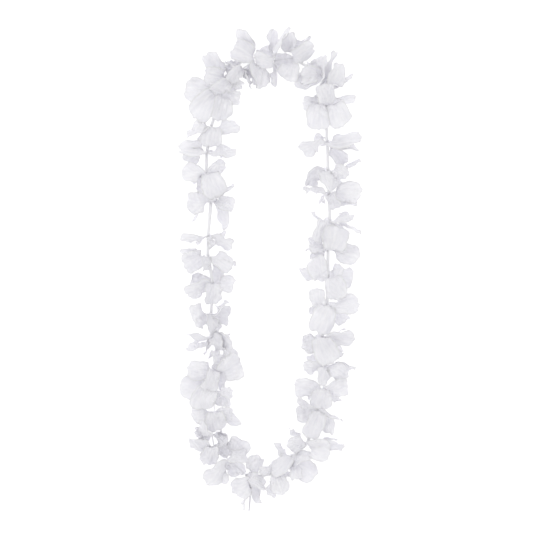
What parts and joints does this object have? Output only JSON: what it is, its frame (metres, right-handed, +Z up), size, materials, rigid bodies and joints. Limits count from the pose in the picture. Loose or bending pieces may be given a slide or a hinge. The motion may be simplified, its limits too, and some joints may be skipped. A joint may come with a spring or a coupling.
{
  "type": "lei",
  "caption": "White cloth lei laid flat in a long oval loop: crumpled die-cut florets strung with plastic spacer tubes on a knotted thread.",
  "frame": {"origin": "on the surface that the lei lies on, under the middle of its outline", "axes": "+Z up from the surface, +Y along the loop's length away from the knot, +X to the right as seen from above with the knot nearest"},
  "size_m": [0.1842, 0.4854, 0.0412],
  "materials": {
    "white_cloth": "matt white polyester cloth, softly pleated, with cut edges",
    "white_tube": "thin white translucent plastic tube",
    "white_thread": "spun white thread"
  },
  "bodies": {
    "root": {"floret_01": "white_cloth", "floret_02": "white_cloth", "floret_03": "white_cloth", "floret_04": "white_cloth", "floret_05": "white_cloth", "floret_06": "white_cloth", "floret_07": "white_cloth", "floret_08": "white_cloth", "floret_09": "white_cloth", "floret_10": "white_cloth", "floret_11": "white_cloth", "floret_12": "white_cloth", "floret_13": "white_cloth", "floret_14": "white_cloth", "floret_15": "white_cloth", "floret_16": "white_cloth", "floret_17": "white_cloth", "floret_18": "white_cloth", "floret_19": "white_cloth", "floret_20": "white_cloth", "floret_21": "white_cloth", "floret_22": "white_cloth", "floret_23": "white_cloth", "floret_24": "white_cloth", "floret_25": "white_cloth", "floret_26": "white_cloth", "floret_27": "white_cloth", "floret_28": "white_cloth", "floret_29": "white_cloth", "floret_30": "white_cloth", "floret_31": "white_cloth", "floret_32": "white_cloth", "floret_33": "white_cloth", "floret_34": "white_cloth", "floret_35": "white_cloth", "floret_36": "white_cloth", "floret_37": "white_cloth", "floret_38": "white_cloth", "floret_39": "white_cloth", "floret_40": "white_cloth", "thread": "white_thread", "tube_03": "white_tube", "tube_04": "white_tube", "tube_05": "white_tube", "tube_08": "white_tube", "tube_09": "white_tube", "tube_10": "white_tube", "tube_11": "white_tube", "tube_12": "white_tube", "tube_13": "white_tube", "tube_14": "white_tube", "tube_15": "white_tube", "tube_18": "white_tube", "tube_24": "white_tube", "tube_26": "white_tube", "tube_27": "white_tube", "tube_28": "white_tube", "tube_29": "white_tube", "tube_30": "white_tube", "tube_31": "white_tube"}
  },
  "joints": []
}
